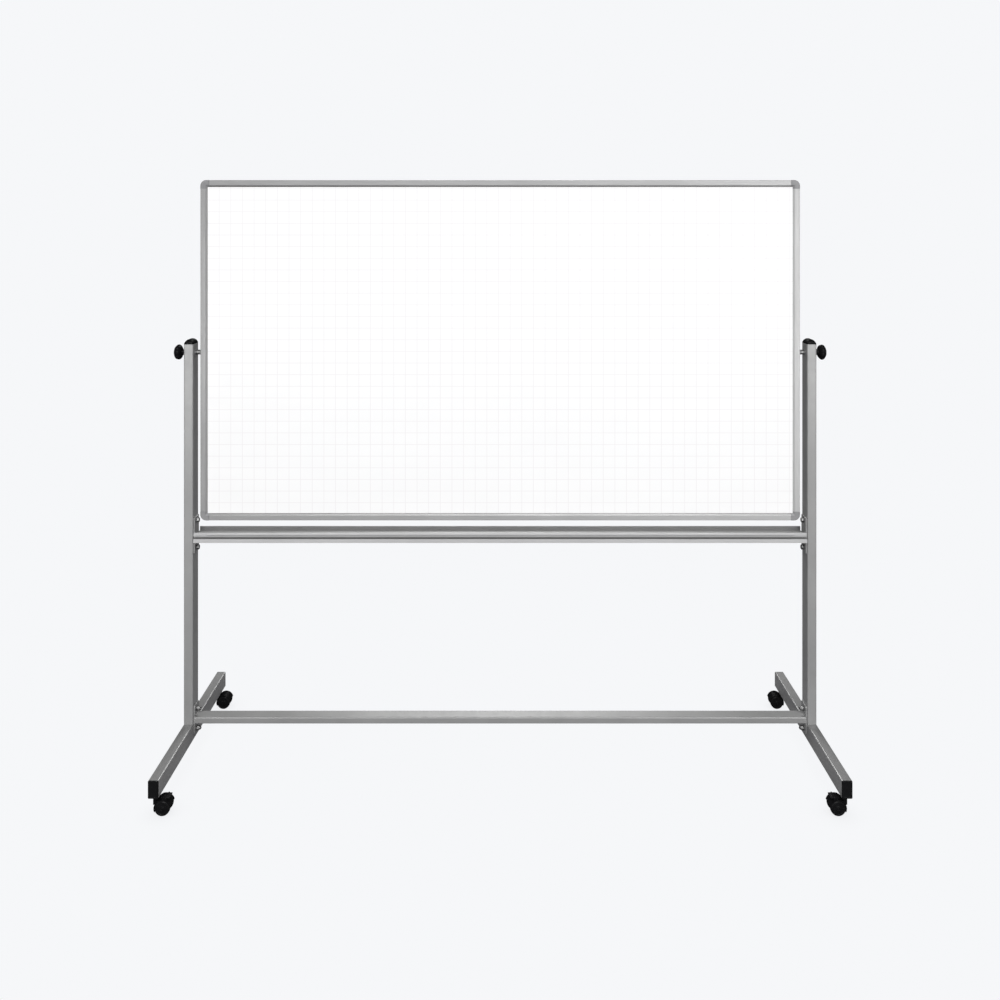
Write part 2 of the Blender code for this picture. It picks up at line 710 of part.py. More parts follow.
def pedal_ears():
    """Two ears on the hood, one on each side of the brake pedal."""
    x, z = pedal_pivot()
    axle = (TRAIL, -AXLE_DROP)
    spread = math.radians(12)
    reach = HOOD_RADIUS - HOOD_THICKNESS / 2
    base = arc(axle, reach, PEDAL_PIVOT_ANGLE - spread, PEDAL_PIVOT_ANGLE + spread, 3)
    top = arc((x, z), 0.0024, math.radians(175), math.radians(-15), 6)
    bm = bmesh.new()
    inner = PEDAL_HALF_WIDTH + GAP
    for end in ENDS.values():
        prism(bm, base + top, "Y", end * inner, end * (inner + 0.0022))
    return bm


def axle_stubs():
    """The moulded axle, which passes through the web and carries a wheel on each side."""
    half_length = WHEEL_OUTER - 0.0006
    bm = bmesh.new()
    turned(bm, [
        (AXLE_RADIUS - 0.0005, -half_length), (AXLE_RADIUS, 0.0005 - half_length),
        (AXLE_RADIUS, half_length - 0.0005), (AXLE_RADIUS - 0.0005, half_length),
    ], "Y", 12, centre=(TRAIL, -AXLE_DROP))
    return bm


def stem_bore():
    bm = bmesh.new()
    turned(bm, [(STEM_BORE, -0.0130), (STEM_BORE, 0.01)], "Z", 12)
    return bm


def add_caster_housing(place, swivel, braked, material):
    bm = bmesh.new()
    hood_shell(bm)
    housing = add_object(f"caster_housing_{place}", bm, material, parent=swivel)
    combine(housing, caster_web(), "UNION")
    combine(housing, caster_column(), "UNION")
    combine(housing, caster_socket(), "UNION")
    if braked:
        combine(housing, pedal_ears(), "UNION")
    combine(housing, axle_stubs(), "UNION")
    combine(housing, stem_bore(), "DIFFERENCE")


def add_caster_wheels(place, swivel, material):
    profile = [
        (AXLE_RADIUS + GAP, WHEEL_INNER), (WHEEL_RADIUS - 0.0014, WHEEL_INNER),
        (WHEEL_RADIUS, WHEEL_INNER + 0.0014), (WHEEL_RADIUS, WHEEL_OUTER - 0.0034),
        (WHEEL_RADIUS - 0.0009, WHEEL_OUTER - 0.0012), (WHEEL_RADIUS - 0.0032, WHEEL_OUTER),
        (0.0150, WHEEL_OUTER), (0.0142, WHEEL_OUTER - 0.0012), (0.0062, WHEEL_OUTER - 0.0012),
        (0.0056, WHEEL_OUTER), (AXLE_RADIUS + GAP, WHEEL_OUTER),
    ]
    for word, end in ENDS.items():
        bm = bmesh.new()
        turned(bm, [(radius, end * along) for radius, along in profile], "Y", 24, closed=True)
        add_object(f"caster_wheel_{place}_{word}", bm, material, (TRAIL, 0, -AXLE_DROP), swivel)


def add_brake_pedal(place, swivel, material):
    """A rocking plate on top of the hood, drawn about its own pivot. Pressing its tip down sets the brake."""
    x, z = pedal_pivot()
    boss = arc((0, 0), 0.0021, math.radians(205), math.radians(335), 5)
    tip = [(0.0096, -0.0014), (0.0103, -0.0006), (0.0101, 0.0020), (0.0, 0.0023)]
    tail = [(-0.0140, 0.0017), (-0.0155, 0.0008), (-0.0155, -0.0006)]
    bm = bmesh.new()
    prism(bm, boss + tip + tail, "Y", -PEDAL_HALF_WIDTH, PEDAL_HALF_WIDTH)
    add_object(f"brake_pedal_{place}", bm, material, (x, 0, z), swivel)


def add_caster_stem(place, location, material):
    """A steel stem with a collar, pressed up into the foot."""
    bm = bmesh.new()
    turned(bm, [
        (STEM_RADIUS - 0.0008, -0.0125), (STEM_RADIUS, -0.0117), (STEM_RADIUS, -0.0015),
        (0.0080, -0.0015), (0.0080, -GAP), (STEM_RADIUS, -GAP),
        (STEM_RADIUS, STEM_LENGTH - 0.001), (STEM_RADIUS - 0.001, STEM_LENGTH),
    ], "Z", 12)
    add_object(f"caster_stem_{place}", bm, material, location)


def add_caster(end_word, end, word, side, materials):
    place = f"{end_word}_{word}"
    location = (side * FOOT_X, end * CASTER_Y, FOOT_BOTTOM)
    add_caster_stem(place, location, materials["zinc"])
    swivel = add_empty(f"caster_swivel_{place}", location)
    swivel.rotation_euler.z = math.pi if side > 0 else 0.0
    braked = end < 0
    add_caster_housing(place, swivel, braked, materials["black_plastic"])
    add_caster_wheels(place, swivel, materials["black_plastic"])
    if braked:
        add_brake_pedal(place, swivel, materials["black_plastic"])


def build():
    clear_scene()
    materials = make_materials()

    axis = add_empty("pivot_axis", (0, 0, PIVOT_Z))
    board = add_empty("board_pivot", (0, 0, 0), axis)
    add_frame_rails(board, materials["aluminium"])
    add_corner_caps(board, materials["grey_plastic"])
    add_writing_sheets(board, materials["white_steel"])
    add_board_core(board, materials["fibreboard"])
    add_pivot_hardware(board, axis, materials)

    for word, side in SIDES.items():
        add_clamp_knob(word, side, axis, materials["black_plastic"])
        add_post(word, side, materials["painted_steel"])
        add_post_cap(word, side, materials["black_plastic"])
        add_foot(word, side, materials["painted_steel"])
        add_tray_bracket(word, side, materials["painted_steel"])
        add_bolts(word, side, materials["zinc"])
        for end_word, end in ENDS.items():
            add_foot_cap(end_word, end, word, side, materials["black_plastic"])
            add_caster(end_word, end, word, side, materials)

    add_crossbar(materials["painted_steel"])
    add_marker_tray(materials["aluminium"])


build()
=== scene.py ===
"""Looks for a rolling reversible whiteboard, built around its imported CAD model.

Everything is in metres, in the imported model's frame: +X along the board, +Y to the rear, +Z up.
"""

import json
import math

import bmesh
import bpy
from mathutils import Matrix, Vector

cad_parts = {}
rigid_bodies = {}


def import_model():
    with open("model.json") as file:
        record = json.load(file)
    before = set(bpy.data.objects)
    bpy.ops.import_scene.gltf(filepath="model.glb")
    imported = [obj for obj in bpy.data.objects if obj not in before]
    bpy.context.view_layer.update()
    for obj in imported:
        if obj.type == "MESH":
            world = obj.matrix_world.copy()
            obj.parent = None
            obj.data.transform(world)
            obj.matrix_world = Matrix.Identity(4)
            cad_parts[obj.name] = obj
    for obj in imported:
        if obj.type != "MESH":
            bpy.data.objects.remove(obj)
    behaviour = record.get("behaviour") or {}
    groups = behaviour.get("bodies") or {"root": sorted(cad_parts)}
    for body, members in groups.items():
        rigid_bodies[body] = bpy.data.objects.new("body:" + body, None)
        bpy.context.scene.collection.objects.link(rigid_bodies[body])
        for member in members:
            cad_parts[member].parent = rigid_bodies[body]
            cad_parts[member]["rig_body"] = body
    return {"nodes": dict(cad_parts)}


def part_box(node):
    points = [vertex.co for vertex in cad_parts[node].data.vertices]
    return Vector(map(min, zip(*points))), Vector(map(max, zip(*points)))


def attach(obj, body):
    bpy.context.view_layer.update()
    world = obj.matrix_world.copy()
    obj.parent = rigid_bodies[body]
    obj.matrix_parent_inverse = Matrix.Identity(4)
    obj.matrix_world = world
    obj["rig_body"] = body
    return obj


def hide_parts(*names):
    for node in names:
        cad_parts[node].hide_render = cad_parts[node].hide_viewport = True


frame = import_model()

SIDES = {"left": -1, "right": 1}
ENDS = {"front": -1, "rear": 1}
PLACES = [(end, side) for end in ENDS for side in SIDES]

# Air between a piece and the face it sits or turns against
GAP = 0.0003
# Radius of the holes that the knobs' studs pass through
PIVOT_BORE = 0.0043
# How much smaller a cap's plug is than the outside of its tube
TUBE_CLEARANCE = 0.0036

# Writing grid: the starts are how far one line lies from the middle of the board
GRID_PITCH = 0.03556
GRID_LINE = 0.0016
GRID_X_START = -0.0051
GRID_Z_START = -0.0041

# Camera
CAMERA_PLACE = (0.0, -2.739, 1.617)
CAMERA_LENS = 32.2
CAMERA_SHIFT = (-0.00017, -0.274)
BACKDROP = (0.921, 0.930, 0.947, 1.0)

# How far each caster is turned about its stem at rest, so that all of them trail inwards
CASTER_TURN = {"left": 0.0, "right": math.pi}


def clear_startup():
    for name in ("Cube", "Light", "Camera"):
        thing = bpy.data.objects.get(name)
        if thing:
            bpy.data.objects.remove(thing, do_unlink=True)


clear_startup()
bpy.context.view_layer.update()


# ---------------------------------------------------------------- materials

class Look:
    """A material that is put together from procedural nodes around one Principled shader."""

    def __init__(self, name, colour, roughness, metallic=0.0, **sockets):
        self.material = bpy.data.materials.new(name)
        self.material.use_nodes = True
        self.nodes = self.material.node_tree.nodes
        self.links = self.material.node_tree.links
        self.shader = self.nodes["Principled BSDF"]
        self.shader.inputs["Base Color"].default_value = (*colour, 1.0)
        self.shader.inputs["Roughness"].default_value = roughness
        self.shader.inputs["Metallic"].default_value = metallic
        for socket, value in sockets.items():
            self.shader.inputs[socket.replace("_", " ")].default_value = value
        self.coordinates = self.nodes.new("ShaderNodeTexCoord").outputs["Object"]
        self.normal = None

    def noise(self, scale, stretch=(1.0, 1.0, 1.0), detail=4.0, roughness=0.55):
        mapping = self.nodes.new("ShaderNodeMapping")
        mapping.inputs["Scale"].default_value = stretch
        texture = self.nodes.new("ShaderNodeTexNoise")
        texture.inputs["Scale"].default_value = scale
        texture.inputs["Detail"].default_value = detail
        texture.inputs["Roughness"].default_value = roughness
        self.links.new(self.coordinates, mapping.inputs["Vector"])
        self.links.new(mapping.outputs["Vector"], texture.inputs["Vector"])
        return texture.outputs["Fac"]

    def spread(self, value, low, high, start=0.3, end=0.7):
        """Maps a 0 to 1 pattern, most of which lies between start and end, onto low to high."""
        node = self.nodes.new("ShaderNodeMapRange")
        node.inputs["From Min"].default_value = start
        node.inputs["From Max"].default_value = end
        node.inputs["To Min"].default_value = low
        node.inputs["To Max"].default_value = high
        self.links.new(value, node.inputs["Value"])
        return node.outputs["Result"]

    def math(self, operation, first, second=None):
        node = self.nodes.new("ShaderNodeMath")
        node.operation = operation
        for socket, value in zip(node.inputs, (first, second)):
            if isinstance(value, (int, float)):
                socket.default_value = value
            elif value is not None:
                self.links.new(value, socket)
        return node.outputs["Value"]

    def blend_colours(self, factor, first, second):
        node = self.nodes.new("ShaderNodeMix")
        node.data_type = "RGBA"
        for socket, value in ((6, first), (7, second)):
            if isinstance(value, tuple):
                node.inputs[socket].default_value = (*value, 1.0)
            else:
                self.links.new(value, node.inputs[socket])
        self.links.new(factor, node.inputs[0])
        return node.outputs[2]

    def scale_colour(self, colour, factor):
        node = self.nodes.new("ShaderNodeVectorMath")
        node.operation = "SCALE"
        self.links.new(colour, node.inputs["Vector"])
        self.links.new(factor, node.inputs["Scale"])
        return node.outputs["Vector"]

    def painted_corner_shade(self, colour, reach, darkest, start=0.25, end=0.85):
        """Paints shade into a colour: darker in the corners and grooves, where ambient occlusion finds
        nearby surfaces.
        """
        node = self.nodes.new("ShaderNodeAmbientOcclusion")
        node.samples = 8
        node.inputs["Distance"].default_value = reach
        openness = self.spread(node.outputs["AO"], darkest, 1.0, start, end)
        return self.scale_colour(colour, openness)

    def colour(self, output):
        self.links.new(output, self.shader.inputs["Base Color"])

    def roughness(self, output):
        self.links.new(output, self.shader.inputs["Roughness"])

    def bump(self, height, strength, distance):
        node = self.nodes.new("ShaderNodeBump")
        node.inputs["Strength"].default_value = strength
        node.inputs["Distance"].default_value = distance
        self.links.new(height, node.inputs["Height"])
        if self.normal is not None:
            self.links.new(self.normal, node.inputs["Normal"])
        self.normal = node.outputs["Normal"]
        self.links.new(self.normal, self.shader.inputs["Normal"])
        self.links.new(self.normal, self.shader.inputs["Coat Normal"])


def painted_steel():
    look = Look("silver_powder_coat", (0.26, 0.26, 0.26), 0.43, 0.32)
    clouds = look.noise(7.0, detail=3.0)
    flakes = look.noise(1500.0, detail=1.0)
    darker, lighter, flake = (0.256, 0.256, 0.255), (0.296, 0.296, 0.295), (0.46, 0.46, 0.46)
    base = look.blend_colours(look.spread(clouds, 0.0, 1.0), darker, lighter)
    look.colour(look.blend_colours(look.spread(flakes, 0.0, 0.16, 0.55, 0.8), base, flake))
    look.roughness(look.spread(look.noise(60.0), 0.39, 0.47))
    look.bump(look.noise(420.0, detail=2.0), 0.025, 0.0003)
    look.bump(flakes, 0.012, 0.0001)
    return look.material


def brushed_aluminium(name, along, dark, light, rough, metal, painted_corner_shade, painted_light_ends=None):
    """Satin extruded aluminium, with fine die lines that run along one axis.

    Painted shade darkens its corners and grooves, and painted light can make it darker towards one end
    of the board and lighter towards the other."""
    look = Look(name, dark, rough, metal)
    stretch = tuple(0.012 if axis == along else 1.0 for axis in "XYZ")
    lines = look.noise(1400.0, stretch, detail=3.0)
    bands = look.noise(230.0, stretch, detail=2.0)
    clouds = look.noise(5.0, detail=2.0)
    streaks = look.blend_colours(look.spread(lines, 0.0, 1.0), dark, light)
    tint = tuple(0.94 * channel for channel in dark)
    # Painted shade: ambient occlusion darkens the colour in corners, grooves and under overhangs.
    colour = look.painted_corner_shade(look.blend_colours(look.spread(clouds, 0.0, 0.5), streaks, tint), *painted_corner_shade)
    # Painted light: the colour is scaled evenly along X, lighter towards the end of the board where the
    # light is brighter.
    if painted_light_ends:
        split = look.nodes.new("ShaderNodeSeparateXYZ")
        look.links.new(look.coordinates, split.inputs["Vector"])
        colour = look.scale_colour(colour, look.spread(split.outputs["X"], *painted_light_ends, -0.92, 0.92))
    look.colour(colour)
    look.roughness(look.spread(bands, rough - 0.05, rough + 0.07))
    look.bump(lines, 0.045, 0.00010)
    look.bump(bands, 0.05, 0.00015)
    return look.material


def grained_plastic(name, dark, light, rough, grain=900.0, depth=0.00012, **sockets):
    look = Look(name, dark, rough, **sockets)
    fine = look.noise(grain, detail=2.0)
    clouds = look.noise(35.0, detail=3.0)
    look.colour(look.blend_colours(look.spread(clouds, 0.0, 1.0), dark, light))
    look.roughness(look.spread(look.noise(180.0), rough - 0.06, rough + 0.08))
    look.bump(fine, 0.30, depth)
    return look.material


def zinc_plate():
    look = Look("dull_zinc", (0.17, 0.17, 0.17), 0.36, 0.9)
    clouds = look.noise(120.0, detail=3.0)
    darker, lighter = (0.13, 0.13, 0.13), (0.21, 0.21, 0.21)
    look.colour(look.blend_colours(look.spread(clouds, 0.0, 1.0), darker, lighter))
    look.roughness(look.spread(look.noise(400.0), 0.32, 0.46))
    look.bump(look.noise(900.0, (1.0, 1.0, 0.2)), 0.15, 0.0001)
    return look.material


def fibreboard():
    look = Look("fibreboard", (0.36, 0.25, 0.15), 0.85)
    fibres = look.noise(600.0, (0.3, 1.0, 1.0), detail=5.0)
    darker, lighter = (0.30, 0.20, 0.12), (0.45, 0.33, 0.21)
    look.colour(look.blend_colours(look.spread(fibres, 0.0, 1.0), darker, lighter))
    look.bump(fibres, 0.4, 0.0003)
    return look.material


def grid_mask(look, centre_z):
    """1 on the printed grid lines and 0 between them."""
    split = look.nodes.new("ShaderNodeSeparateXYZ")
    look.links.new(look.coordinates, split.inputs["Vector"])
    lines = []
    for axis, start in (("X", GRID_X_START), ("Z", centre_z + GRID_Z_START)):
        shifted = look.math("SUBTRACT", split.outputs[axis], start - GRID_PITCH / 2)
        cell = look.math("FRACT", look.math("DIVIDE", shifted, GRID_PITCH))
        off_line = look.math("ABSOLUTE", look.math("SUBTRACT", cell, 0.5))
        half_line = GRID_LINE / 2 / GRID_PITCH
        lines.append(look.spread(off_line, 1.0, 0.0, half_line * 0.7, half_line * 1.3))
    return look.math("MAXIMUM", *lines)


def writing_enamel(name, centre_z=None):
    """Gloss white enamel with faint wiping marks, and a pale printed grid if centre_z is given."""
    white = (0.79, 0.79, 0.79)
    look = Look(name, white, 0.40, Specular_IOR_Level=0.15, Coat_Weight=0.04, Coat_Roughness=0.20)
    wipes = look.noise(9.0, (0.35, 1.0, 1.0), detail=5.0, roughness=0.65)
    tinted = look.blend_colours(look.spread(wipes, 0.0, 1.0), white, (0.775, 0.775, 0.777))
    if centre_z is None:
        look.colour(tinted)
    else:
        look.colour(look.blend_colours(grid_mask(look, centre_z), tinted, (0.705, 0.69, 0.697)))
    look.roughness(look.spread(wipes, 0.34, 0.48))
    look.bump(look.noise(55.0, detail=2.0), 0.05, 0.0004)
    return look.material


FRAME_TONES = ((0.29, 0.29, 0.29), (0.37, 0.37, 0.37))
TRAY_TONES = ((0.41, 0.41, 0.41), (0.50, 0.50, 0.50))
SATIN_COAT = {"Specular_IOR_Level": 0.0, "Coat_Weight": 0.11, "Coat_Roughness": 0.32}
board_low, board_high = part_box("board_core")
LOOKS = {
    "painted_steel": painted_steel(),
    # Painted light and shade: the rails are lighter towards the board's right end, and their inner lips
    # are darker.
    "frame_across": brushed_aluminium(
        "anodised_frame_across", "X", *FRAME_TONES, 0.42, 0.25,
        painted_corner_shade=(0.018, 0.10, 0.80, 1.0), painted_light_ends=(0.84, 1.26),
    ),
    "frame_upright": brushed_aluminium(
        "anodised_frame_upright", "Z", *FRAME_TONES, 0.42, 0.25,
        painted_corner_shade=(0.012, 0.65), painted_light_ends=(0.82, 1.30),
    ),
    # Painted shade: ambient occlusion darkens the tray's rear wall, its groove and its corners.
    "tray": brushed_aluminium(
        "anodised_tray", "X", *TRAY_TONES, 0.48, 0.30, painted_corner_shade=(0.055, 0.42),
    ),
    "grid_enamel": writing_enamel("gridded_enamel", (board_low.z + board_high.z) / 2),
    "plain_enamel": writing_enamel("plain_enamel"),
    "fibreboard": fibreboard(),
    "grey_plastic": grained_plastic(
        "grey_plastic", (0.19, 0.19, 0.195), (0.235, 0.235, 0.238), 0.42,
    ),
    "black_plastic": grained_plastic(
        "black_plastic", (0.0045, 0.0045, 0.0050), (0.0075, 0.0075, 0.0080), 0.52,
        **SATIN_COAT,
    ),
    "knob_plastic": grained_plastic(
        "knob_plastic", (0.0040, 0.0040, 0.0046), (0.0065, 0.0065, 0.0072), 0.36,
        grain=1300.0, depth=0.00008, **SATIN_COAT,
    ),
    "tread": grained_plastic(
        "wheel_tread", (0.0070, 0.0070, 0.0076), (0.0105, 0.0105, 0.0110), 0.58,
        grain=1600.0, depth=0.00010, **SATIN_COAT,
    ),
    "zinc": zinc_plate(),
}


def paint(node, look):
    slots = frame["nodes"][node].material_slots
    for index in range(len(slots)):
        slots[index].material = LOOKS[look]


def add_bevel(thing, width, angle, harden=False):
    bevel = thing.modifiers.new("edge_round", "BEVEL")
    bevel.width = width
    bevel.segments = 2
    bevel.limit_method = "ANGLE"
    bevel.angle_limit = math.radians(angle)
    bevel.use_clamp_overlap = True
    bevel.harden_normals = harden


def round_edges(node, width):
    """CAD nodes keep their mesh. Their split triangles are welded, and hard edges get a small round."""
    thing = frame["nodes"][node]
    weld = thing.modifiers.new("weld", "WELD")
    weld.merge_threshold = 0.00002
    add_bevel(thing, width, 30)


def dress_cad_nodes():
    for word in ("top", "bottom"):
        paint(f"frame_rail_{word}", "frame_across")
    for side in SIDES:
        paint(f"frame_rail_{side}", "frame_upright")
        paint(f"post_{side}", "painted_steel")
        paint(f"foot_{side}", "painted_steel")
        paint(f"tray_bracket_{side}", "painted_steel")
        paint(f"pivot_nut_{side}", "zinc")
        for level in ("top", "bottom"):
            paint(f"corner_cap_{level}_{side}", "grey_plastic")
            round_edges(f"corner_cap_{level}_{side}", 0.0003)
        round_edges(f"post_{side}", 0.00025)
        round_edges(f"foot_{side}", 0.00025)
        round_edges(f"tray_bracket_{side}", 0.0004)
    for word in ("top", "bottom", "left", "right"):
        round_edges(f"frame_rail_{word}", 0.0004)
    paint("writing_sheet_front", "grid_enamel")
    paint("writing_sheet_rear", "plain_enamel")
    paint("board_core", "fibreboard")
    paint("crossbar", "painted_steel")
    paint("marker_tray", "tray")
    round_edges("crossbar", 0.00022)
    round_edges("marker_tray", 0.0003)


# ---------------------------------------------------------------- mesh helpers

def around(centre, radius, angle):
    return (centre[0] + radius * math.cos(angle), centre[1] + radius * math.sin(angle))


def circle(radius, segments, centre=(0.0, 0.0)):
    return [around(centre, radius, 2 * math.pi * step / segments) for step in range(segments)]


def arc(centre, radius, start, end, steps):
    return [around(centre, radius, start + (end - start) * step / steps) for step in range(steps + 1)]


def rounded_rectangle(width, height, radius, steps=6):
    outline = []
    for quarter, (u, v) in enumerate(((1, 1), (-1, 1), (-1, -1), (1, -1))):
        centre = (u * (width / 2 - radius), v * (height / 2 - radius))
        start = quarter * math.pi / 2
        outline += arc(centre, radius, start, start + math.pi / 2, steps)
    return outline


def hexagon(half_width, segments, reach_limit):
    """A hexagon with its corners cut back to a circle of reach_limit."""
    outline = []
    for step in range(segments):
        turn = 2 * math.pi * step / segments
        off_flat = (turn % (math.pi / 3)) - math.pi / 6
        reach = min(half_width / math.cos(off_flat), reach_limit)
        outline.append((reach * math.cos(turn), reach * math.sin(turn)))
    return outline


def lobed_circle(radius, depth, lobes, segments):
    outline = []
    for step in range(segments):
        turn = 2 * math.pi * step / segments
        wave = abs(math.cos(lobes * turn / 2)) ** 0.8
        reach = radius - depth * (1 - wave)
        outline.append((reach * math.cos(turn), reach * math.sin(turn)))
    return outline


def ring(outline, axis, along):
    """An outline placed across an axis: X takes (y, z), Y takes (x, z) and Z takes (x, y)."""
    if axis == "X":
        return [Vector((along, u, v)) for u, v in outline]
    if axis == "Y":
        return [Vector((u, along, v)) for u, v in outline]
    return [Vector((u, v, along)) for u, v in outline]


def loft(bm, rings, closed=False, look=0):
    """Skins rings with equally many points, capping both ends unless the last ring joins the first."""
    loops = [[bm.verts.new(point) for point in points] for points in rings]
    pairs = list(zip(loops, loops[1:]))
    faces = []
    if closed:
        pairs.append((loops[-1], loops[0]))
    else:
        faces += [bm.faces.new(loops[0]), bm.faces.new(loops[-1])]
    for first, second in pairs:
        for here in range(len(first)):
            there = (here + 1) % len(first)
            faces.append(bm.faces.new((first[here], first[there], second[there], second[here])))
    for face in faces:
        face.material_index = look


def turned(bm, profile, axis, segments, centre=(0.0, 0.0), closed=False, look=0):
    """Turns a profile of (radius, distance along the axis) points."""
    rings = [ring(circle(radius, segments, centre), axis, along) for radius, along in profile]
    loft(bm, rings, closed, look)


def prism(bm, outline, axis, start, end):
    loft(bm, [ring(outline, axis, start), ring(outline, axis, end)])


def box(bm, low, high):
    outline = [(low[0], low[1]), (high[0], low[1]), (high[0], high[1]), (low[0], high[1])]
    prism(bm, outline, "Z", low[2], high[2])


def finished_mesh(name, bm, looks, angle=30):
    bmesh.ops.recalc_face_normals(bm, faces=bm.faces)
    mesh = bpy.data.meshes.new(name)
    bm.to_mesh(mesh)
    bm.free()
    for look in looks:
        mesh.materials.append(LOOKS[look])
    mesh.shade_smooth()
    mesh.set_sharp_from_angle(angle=math.radians(angle))
    return mesh


def add_piece(name, mesh, node, matrix):
    """A detailed piece that stands for one CAD node and rides on its body."""
    piece = bpy.data.objects.new(name, mesh)
    bpy.context.scene.collection.objects.link(piece)
    piece.matrix_world = matrix
    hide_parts(node)
    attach(piece, frame["nodes"][node]["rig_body"])
    return piece


def placed(location, turn=0.0):
    return Matrix.Translation(location) @ Matrix.Rotation(turn, 4, "Z")


# ---------------------------------------------------------------- knobs, pivots and caps

def pivot_height():
    low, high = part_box("pivot_sleeve_right")
    return (low.z + high.z) / 2


def knob_mesh():
    """A fluted knob, drawn for the right-hand side with x measured from the post's outer face."""
    low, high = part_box("clamp_knob_right")
    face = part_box("post_right")[1].x
    segments = 126
    lobes = 7
    lobe_depth = 0.0026
    middle = 0.0235
    half_thickness = 0.0128
    radius = (high.z - low.z) / 2
    neck, collar = 0.0088, 0.0094
    stud_radius = 0.0040
    bm = bmesh.new()
    stud_start = low.x - face
    stud = [
        (stud_radius - 0.0008, stud_start), (stud_radius, stud_start + 0.0008),
        (stud_radius, GAP + 0.002),
    ]
    turned(bm, stud, "X", 32, look=1)
    rings = [ring(circle(reach, segments), "X", along) for reach, along in (
        (neck - 0.0008, GAP), (neck, GAP + 0.0008),
        (neck, middle - 0.0112), (collar, middle - 0.0108),
    )]
    first_lean, last_lean, steps = math.radians(-64), math.radians(72), 24
    for step in range(steps + 1):
        lean = first_lean + (last_lean - first_lean) * step / steps
        share = math.cos(lean) ** 0.92
        outline = lobed_circle(radius * share, lobe_depth * math.cos(lean) ** 2, lobes, segments)
        rings.append(ring(outline, "X", middle + half_thickness * math.sin(lean)))
    top = middle + half_thickness * math.sin(last_lean)
    for reach, drop in ((0.0062, 0.0), (0.0058, 0.0003), (0.0054, 0.0004), (0.0015, 0.0003)):
        rings.append(ring(circle(reach, segments), "X", top - drop))
    loft(bm, rings)
    return finished_mesh("clamp_knob", bm, ("knob_plastic", "zinc"), 50)


def add_knobs():
    mesh = knob_mesh()
    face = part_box("post_right")[1].x
    for word, side in SIDES.items():
        turn = 0.0 if side > 0 else math.pi
        matrix = placed((side * face, 0, pivot_height()), turn)
        add_piece(f"fluted_knob_{word}", mesh, f"clamp_knob_{word}", matrix)


def ring_mesh(name, profile, look):
    bm = bmesh.new()
    turned(bm, profile, "X", 48, closed=True)
    return finished_mesh(name, bm, (look,))


def add_pivot_rings():
    """A spacer sleeve with two raised ends and a flanged bush, for each side of the board."""
    bore = PIVOT_BORE
    chamfer = 0.0006
    groove = 0.0007
    land = 0.0030
    shell = 0.0068
    for word, side in SIDES.items():
        matrix = placed((0, 0, pivot_height()), 0.0 if side > 0 else math.pi)
        low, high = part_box(f"pivot_sleeve_{word}")
        near, far = sorted((abs(low.x), abs(high.x)))
        radius = (high.z - low.z) / 2
        profile = [
            (bore, near), (radius - chamfer, near), (radius, near + chamfer),
            (radius, near + land), (radius - groove, near + land + 0.0004),
            (radius - groove, far - land - 0.0004), (radius, far - land),
            (radius, far - chamfer), (radius - chamfer, far), (bore, far),
        ]
        mesh = ring_mesh(f"sleeve_{word}", profile, "zinc")
        add_piece(f"spacer_sleeve_{word}", mesh, f"pivot_sleeve_{word}", matrix)

        low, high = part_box(f"pivot_bush_{word}")
        near, far = sorted((abs(low.x), abs(high.x)))
        flange = (high.z - low.z) / 2
        profile = [
            (bore, near + 0.0003), (bore + 0.0003, near), (flange - 0.0005, near),
            (flange, near + 0.0005), (flange, near + 0.0012), (shell, near + 0.0012),
            (shell, far - 0.0004), (shell - 0.0004, far), (bore, far),
        ]
        mesh = ring_mesh(f"bush_{word}", profile, "grey_plastic")
        add_piece(f"flanged_bush_{word}", mesh, f"pivot_bush_{word}", matrix)


def add_post_caps():
    """A smooth crowned cap with a thin rim, on a plug that fits the tube."""
    rim = 0.0012
    inset = 0.0125
    steps = 14
    crown_start, crown_end = math.radians(30), math.radians(84)
    sine_start, sine_end = math.sin(crown_start), math.sin(crown_end)
    for word in SIDES:
        low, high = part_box(f"post_cap_{word}")
        width, depth = high.x - low.x, high.y - low.y
        post_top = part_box(f"post_{word}")[1].z + GAP

        def level(shrink, corner, height):
            return ring(rounded_rectangle(width - shrink, depth - shrink, corner), "Z", height)

        rings = [
            level(TUBE_CLEARANCE + 0.0008, 0.0012, low.z),
            level(TUBE_CLEARANCE, 0.0015, low.z + 0.0012),
            level(TUBE_CLEARANCE, 0.0015, post_top),
            level(0.0004, 0.0030, post_top),
            level(0.0, 0.0032, post_top + 0.0003),
        ]
        for step in range(steps + 1):
            share = step / steps
            lean = crown_start + (crown_end - crown_start) * share
            rise = (math.sin(lean) - sine_start) / (sine_end - sine_start)
            shrink = 2 * inset * (1 - math.cos(lean) / math.cos(crown_start))
            height = post_top + rim + (high.z - post_top - rim) * rise
            rings.append(level(shrink, 0.0032 - 0.0016 * share, height))
        bm = bmesh.new()
        loft(bm, rings)
        mesh = finished_mesh(f"post_cap_mesh_{word}", bm, ("black_plastic",), 35)
        matrix = placed(((low.x + high.x) / 2, 0, 0))
        add_piece(f"crowned_cap_{word}", mesh, f"post_cap_{word}", matrix)


